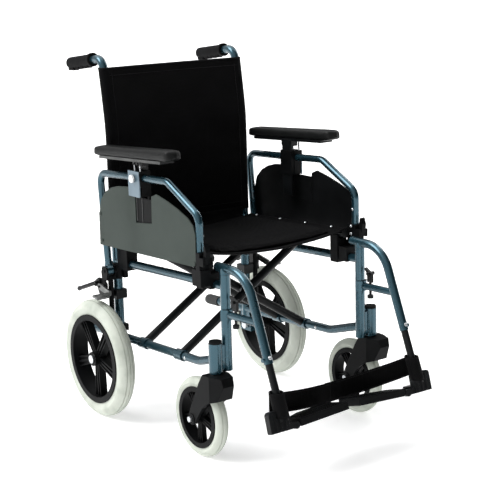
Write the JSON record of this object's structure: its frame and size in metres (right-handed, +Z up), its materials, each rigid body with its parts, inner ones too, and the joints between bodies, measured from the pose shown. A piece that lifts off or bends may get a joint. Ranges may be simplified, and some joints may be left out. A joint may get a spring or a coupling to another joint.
{
  "type": "folding transit wheelchair",
  "caption": "Folding attendant wheelchair with small rear wheels, swing-away footrests, flip-back height-adjustable armrests and push handles.",
  "frame": {"origin": "on the floor, at the middle of the chair's overall length and width", "axes": "+X to the occupant's left, the chair faces -Y, +Z up"},
  "size_m": [0.6232, 0.9255, 0.955],
  "materials": {
    "tube_paint": "metallic paint, gloss",
    "black_paint": "powder coat, satin",
    "black_plastic": "moulded, satin",
    "grey_tyre": "matt",
    "grey_plastic": "moulded, satin",
    "panel": "satin",
    "black_rubber": "matt",
    "zinc": "bright zinc",
    "nylon": "woven, coated",
    "vinyl": "satin",
    "webbing": "woven",
    "clamp_paint": "painted, satin"
  },
  "bodies": {
    "right_side": {"side_frame_right": "tube_paint", "back_cane_right": "tube_paint", "push_grip_right": "black_rubber", "tipping_cap_right": "grey_plastic", "armrest_mounts_right": "black_plastic", "seat_saddles_right": "black_plastic", "rear_axle_right": "zinc", "brake_bracket_right": "black_paint", "back_sling": "nylon"},
    "cross_a": {"cross_member_a": "black_paint", "pivot_bolts": "zinc"},
    "cross_b": {"cross_member_b": "black_paint"},
    "left_side": {"side_frame_left": "tube_paint", "back_cane_left": "tube_paint", "push_grip_left": "black_rubber", "tipping_cap_left": "grey_plastic", "armrest_mounts_left": "black_plastic", "seat_saddles_left": "black_plastic", "rear_axle_left": "zinc", "brake_bracket_left": "black_paint"},
    "seat": {"seat_sling": "nylon"},
    "rear_wheel_right": {"rear_tyre_right": "grey_tyre", "rear_rim_right": "black_plastic"},
    "caster_fork_right": {"caster_fork_right": "black_plastic", "caster_stem_right": "zinc"},
    "caster_wheel_right": {"caster_tyre_right": "grey_tyre", "caster_rim_right": "black_plastic"},
    "brake_lever_right": {"brake_lever_right": "zinc"},
    "brake_shoe_right": {"brake_shoe_right": "zinc"},
    "armrest_right": {"armrest_tube_right": "tube_paint", "side_panel_right": "panel", "height_clamp_right": "clamp_paint"},
    "arm_pad_right": {"pad_post_right": "black_paint", "armrest_pad_right": "vinyl"},
    "height_button_right": {"height_button_right": "black_plastic"},
    "armrest_latch_right": {"armrest_latch_right": "black_plastic"},
    "hanger_right": {"hanger_right": "tube_paint"},
    "hanger_latch_right": {"hanger_latch_right": "zinc"},
    "extension_right": {"extension_tube_right": "black_paint", "calf_strap": "webbing"},
    "footplate_right": {"footplate_right": "black_plastic"},
    "rear_wheel_left": {"rear_tyre_left": "grey_tyre", "rear_rim_left": "black_plastic"},
    "caster_fork_left": {"caster_fork_left": "black_plastic", "caster_stem_left": "zinc"},
    "caster_wheel_left": {"caster_tyre_left": "grey_tyre", "caster_rim_left": "black_plastic"},
    "brake_lever_left": {"brake_lever_left": "zinc"},
    "brake_shoe_left": {"brake_shoe_left": "zinc"},
    "armrest_left": {"armrest_tube_left": "tube_paint", "side_panel_left": "panel", "height_clamp_left": "clamp_paint"},
    "arm_pad_left": {"pad_post_left": "black_paint", "armrest_pad_left": "vinyl"},
    "height_button_left": {"height_button_left": "black_plastic"},
    "armrest_latch_left": {"armrest_latch_left": "black_plastic"},
    "hanger_left": {"hanger_left": "tube_paint"},
    "hanger_latch_left": {"hanger_latch_left": "zinc"},
    "extension_left": {"extension_tube_left": "black_paint"},
    "footplate_left": {"footplate_left": "black_plastic"}
  },
  "joints": [
    {"name": "fold", "type": "hinge", "parent": "right_side", "child": "cross_a", "pos_m": [-0.21, 0, 0.2142], "axis": [0, -0.9988, 0.048], "range_deg": [0, 40], "deforming": ["seat_sling", "back_sling", "calf_strap"]},
    {"name": "fold_scissor", "type": "hinge", "parent": "cross_a", "child": "cross_b", "pos_m": [0, 0, 0.3476], "axis": [0, -0.9988, 0.048], "range_deg": [-80, 0]},
    {"name": "fold_left_side", "type": "hinge", "parent": "cross_b", "child": "left_side", "pos_m": [0.21, 0, 0.2142], "axis": [0, -0.9988, 0.048], "range_deg": [0, 40]},
    {"name": "fold_seat", "type": "hinge", "parent": "cross_a", "child": "seat", "pos_m": [0.21, 0, 0.481], "axis": [0, -0.9988, 0.048], "range_deg": [-40, 0]},
    {"name": "rear_wheel_spin_right", "type": "hinge", "parent": "right_side", "child": "rear_wheel_right", "pos_m": [-0.2836, 0.248, 0.1575], "axis": [1, 0, 0], "continuous": true},
    {"name": "caster_swivel_right", "type": "hinge", "parent": "right_side", "child": "caster_fork_right", "pos_m": [-0.244, -0.24, 0.26], "axis": [0, 0, 1], "continuous": true},
    {"name": "caster_spin_right", "type": "hinge", "parent": "caster_fork_right", "child": "caster_wheel_right", "pos_m": [-0.246, -0.175, 0.1], "axis": [1, 0, 0], "continuous": true},
    {"name": "brake_right", "type": "hinge", "parent": "right_side", "child": "brake_lever_right", "pos_m": [-0.255, 0.286, 0.353], "axis": [-1, 0, 0], "range_deg": [0, 25]},
    {"name": "brake_shoe_right", "type": "hinge", "parent": "right_side", "child": "brake_shoe_right", "pos_m": [-0.261, 0.268, 0.345], "axis": [1, 0, 0], "range_deg": [0, 13.3]},
    {"name": "armrest_flip_right", "type": "hinge", "parent": "right_side", "child": "armrest_right", "pos_m": [-0.242, 0.249, 0.389], "axis": [-1, 0, 0], "range_deg": [0, 90]},
    {"name": "arm_height_right", "type": "slide", "parent": "armrest_right", "child": "arm_pad_right", "axis": [0, 0, 1], "range_m": [0, 0.05]},
    {"name": "height_button_press_right", "type": "slide", "parent": "armrest_right", "child": "height_button_right", "axis": [1, 0, 0], "range_m": [0, 0.003], "stiffness_N_per_m": 800},
    {"name": "armrest_latch_right", "type": "hinge", "parent": "right_side", "child": "armrest_latch_right", "pos_m": [-0.242, -0.212, 0.492], "axis": [1, 0, 0], "range_deg": [0, 35]},
    {"name": "hanger_swing_right", "type": "hinge", "parent": "right_side", "child": "hanger_right", "pos_m": [-0.21, -0.24, 0.45], "axis": [0, 0, -1], "range_deg": [0, 90]},
    {"name": "hanger_latch_right", "type": "hinge", "parent": "hanger_right", "child": "hanger_latch_right", "pos_m": [-0.21, -0.28, 0.37], "axis": [0, 0, -1], "range_deg": [0, 60]},
    {"name": "footrest_length_right", "type": "slide", "parent": "hanger_right", "child": "extension_right", "axis": [0, -0.3746, -0.9272], "range_m": [0, 0.05]},
    {"name": "footplate_right", "type": "hinge", "parent": "extension_right", "child": "footplate_right", "pos_m": [-0.174, -0.43926, 0.13379], "axis": [0, -0.9613, 0.2756], "range_deg": [0, 87]},
    {"name": "rear_wheel_spin_left", "type": "hinge", "parent": "left_side", "child": "rear_wheel_left", "pos_m": [0.2836, 0.248, 0.1575], "axis": [1, 0, 0], "continuous": true},
    {"name": "caster_swivel_left", "type": "hinge", "parent": "left_side", "child": "caster_fork_left", "pos_m": [0.244, -0.24, 0.26], "axis": [0, 0, 1], "continuous": true},
    {"name": "caster_spin_left", "type": "hinge", "parent": "caster_fork_left", "child": "caster_wheel_left", "pos_m": [0.246, -0.175, 0.1], "axis": [1, 0, 0], "continuous": true},
    {"name": "brake_left", "type": "hinge", "parent": "left_side", "child": "brake_lever_left", "pos_m": [0.255, 0.286, 0.353], "axis": [-1, 0, 0], "range_deg": [0, 25]},
    {"name": "brake_shoe_left", "type": "hinge", "parent": "left_side", "child": "brake_shoe_left", "pos_m": [0.261, 0.268, 0.345], "axis": [1, 0, 0], "range_deg": [0, 13.3]},
    {"name": "armrest_flip_left", "type": "hinge", "parent": "left_side", "child": "armrest_left", "pos_m": [0.242, 0.249, 0.389], "axis": [-1, 0, 0], "range_deg": [0, 90]},
    {"name": "arm_height_left", "type": "slide", "parent": "armrest_left", "child": "arm_pad_left", "axis": [0, 0, 1], "range_m": [0, 0.05]},
    {"name": "height_button_press_left", "type": "slide", "parent": "armrest_left", "child": "height_button_left", "axis": [-1, 0, 0], "range_m": [0, 0.003], "stiffness_N_per_m": 800},
    {"name": "armrest_latch_left", "type": "hinge", "parent": "left_side", "child": "armrest_latch_left", "pos_m": [0.242, -0.212, 0.492], "axis": [1, 0, 0], "range_deg": [0, 35]},
    {"name": "hanger_swing_left", "type": "hinge", "parent": "left_side", "child": "hanger_left", "pos_m": [0.21, -0.24, 0.45], "axis": [0, 0, 1], "range_deg": [0, 90]},
    {"name": "hanger_latch_left", "type": "hinge", "parent": "hanger_left", "child": "hanger_latch_left", "pos_m": [0.21, -0.28, 0.37], "axis": [0, 0, 1], "range_deg": [0, 60]},
    {"name": "footrest_length_left", "type": "slide", "parent": "hanger_left", "child": "extension_left", "axis": [0, -0.3746, -0.9272], "range_m": [0, 0.05]},
    {"name": "footplate_left", "type": "hinge", "parent": "extension_left", "child": "footplate_left", "pos_m": [0.174, -0.43926, 0.13379], "axis": [0, 0.9613, -0.2756], "range_deg": [0, 87]}
  ],
  "couplings": [
    {"joint": "fold_scissor", "follows": "fold", "ratio": -2},
    {"joint": "fold_left_side", "follows": "fold", "ratio": 1},
    {"joint": "fold_seat", "follows": "fold", "ratio": -1},
    {"joint": "brake_shoe_right", "follows": "brake_right", "ratio": 0.528},
    {"joint": "footplate_right", "follows": "fold", "ratio": 2.175},
    {"joint": "brake_shoe_left", "follows": "brake_left", "ratio": 0.528},
    {"joint": "footplate_left", "follows": "fold", "ratio": 2.175}
  ]
}
